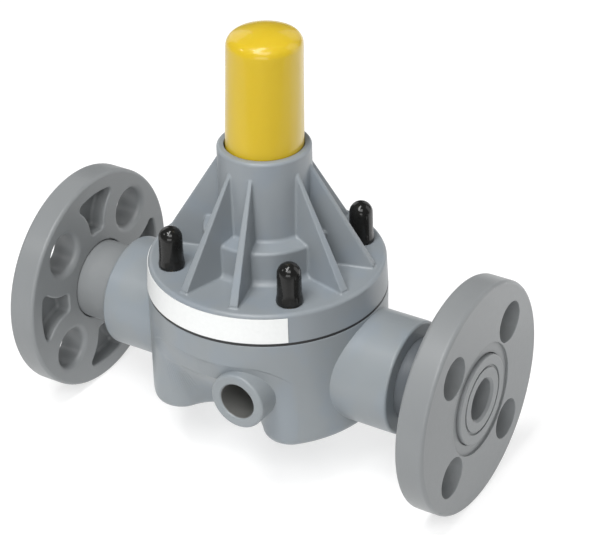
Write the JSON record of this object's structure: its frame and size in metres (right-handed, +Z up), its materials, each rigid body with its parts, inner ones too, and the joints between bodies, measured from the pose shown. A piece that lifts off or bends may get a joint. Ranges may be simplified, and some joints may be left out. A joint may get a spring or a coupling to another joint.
{
  "type": "safety relief valve",
  "caption": "In-line diaphragm relief valve in moulded plastic with a ribbed bonnet, capped adjusting screw, loose flange rings and a side gauge port.",
  "frame": {"origin": "centre of the inlet sealing face, on the pipe axis", "axes": "+X with the flow from inlet to outlet along the pipe, +Z up the bonnet, +Y towards the side with the gauge port"},
  "size_m": [0.1812, 0.0906, 0.1705],
  "materials": {
    "grey_plastic": "moulded, satin",
    "seat_plastic": "machined, satin",
    "black_rubber": "matt",
    "steel": "bright",
    "brass": "turned",
    "yellow_vinyl": "dipped, glossy",
    "black_vinyl": "dipped, glossy",
    "white_label": "satin film"
  },
  "bodies": {
    "housing": {"valve_body": "grey_plastic", "bonnet": "grey_plastic", "inlet_stub": "grey_plastic", "outlet_stub": "grey_plastic", "inlet_nipple": "grey_plastic", "outlet_nipple": "grey_plastic", "seat_ring": "seat_plastic", "seat_o_ring": "black_rubber", "diaphragm": "black_rubber", "range_spring": "steel", "thread_insert": "brass", "bonnet_bolts": "steel", "bolt_washers": "steel", "bolt_inserts": "brass", "label": "white_label"},
    "seat_stack": {"seat_disc": "black_rubber", "disc_holder": "seat_plastic", "centre_screw": "steel", "pressure_plate": "steel"},
    "button": {"spring_button": "steel"},
    "screw": {"adjusting_screw": "steel"},
    "nut": {"lock_nut": "steel"},
    "tall_cap": {"screw_cap": "yellow_vinyl"},
    "inlet_ring": {"inlet_flange_ring": "grey_plastic"},
    "outlet_ring": {"outlet_flange_ring": "grey_plastic"},
    "bolt_cap_1": {"bolt_cap_1": "black_vinyl"},
    "bolt_cap_2": {"bolt_cap_2": "black_vinyl"},
    "bolt_cap_3": {"bolt_cap_3": "black_vinyl"},
    "bolt_cap_4": {"bolt_cap_4": "black_vinyl"}
  },
  "joints": [
    {"name": "seat_lift", "type": "slide", "parent": "housing", "child": "seat_stack", "axis": [0, 0, 1], "range_m": [0, 0.003], "stiffness_N_per_m": 12000, "springref_m": -0.008, "deforming": ["diaphragm"]},
    {"name": "button_travel", "type": "slide", "parent": "housing", "child": "button", "axis": [0, 0, 1], "range_m": [-0.00525, 0.00525], "deforming": ["range_spring"]},
    {"name": "screw_turn", "type": "hinge", "parent": "button", "child": "screw", "pos_m": [0.0906, 0, 0.0606], "axis": [0, 0, 1], "range_deg": [-1081, 1081]},
    {"name": "lock_nut_turn", "type": "hinge", "parent": "housing", "child": "nut", "pos_m": [0.0906, 0, 0.0857], "axis": [0, 0, 1], "range_deg": [0, 90]},
    {"name": "tall_cap_pull", "type": "slide", "parent": "housing", "child": "tall_cap", "axis": [0, 0, 1], "range_m": [0, 0.055]},
    {"name": "inlet_ring_turn", "type": "hinge", "parent": "housing", "child": "inlet_ring", "pos_m": [0.00615, 0, 0], "axis": [1, 0, 0], "continuous": true},
    {"name": "outlet_ring_turn", "type": "hinge", "parent": "housing", "child": "outlet_ring", "pos_m": [0.17505, 0, 0], "axis": [1, 0, 0], "continuous": true},
    {"name": "bolt_cap_1_pull", "type": "slide", "parent": "housing", "child": "bolt_cap_1", "axis": [0, 0, 1], "range_m": [0, 0.02]},
    {"name": "bolt_cap_2_pull", "type": "slide", "parent": "housing", "child": "bolt_cap_2", "axis": [0, 0, 1], "range_m": [0, 0.02]},
    {"name": "bolt_cap_3_pull", "type": "slide", "parent": "housing", "child": "bolt_cap_3", "axis": [0, 0, 1], "range_m": [0, 0.02]},
    {"name": "bolt_cap_4_pull", "type": "slide", "parent": "housing", "child": "bolt_cap_4", "axis": [0, 0, 1], "range_m": [0, 0.02]}
  ],
  "couplings": [
    {"joint": "screw_turn", "follows": "button_travel", "rad_per_m": 3590.4}
  ]
}
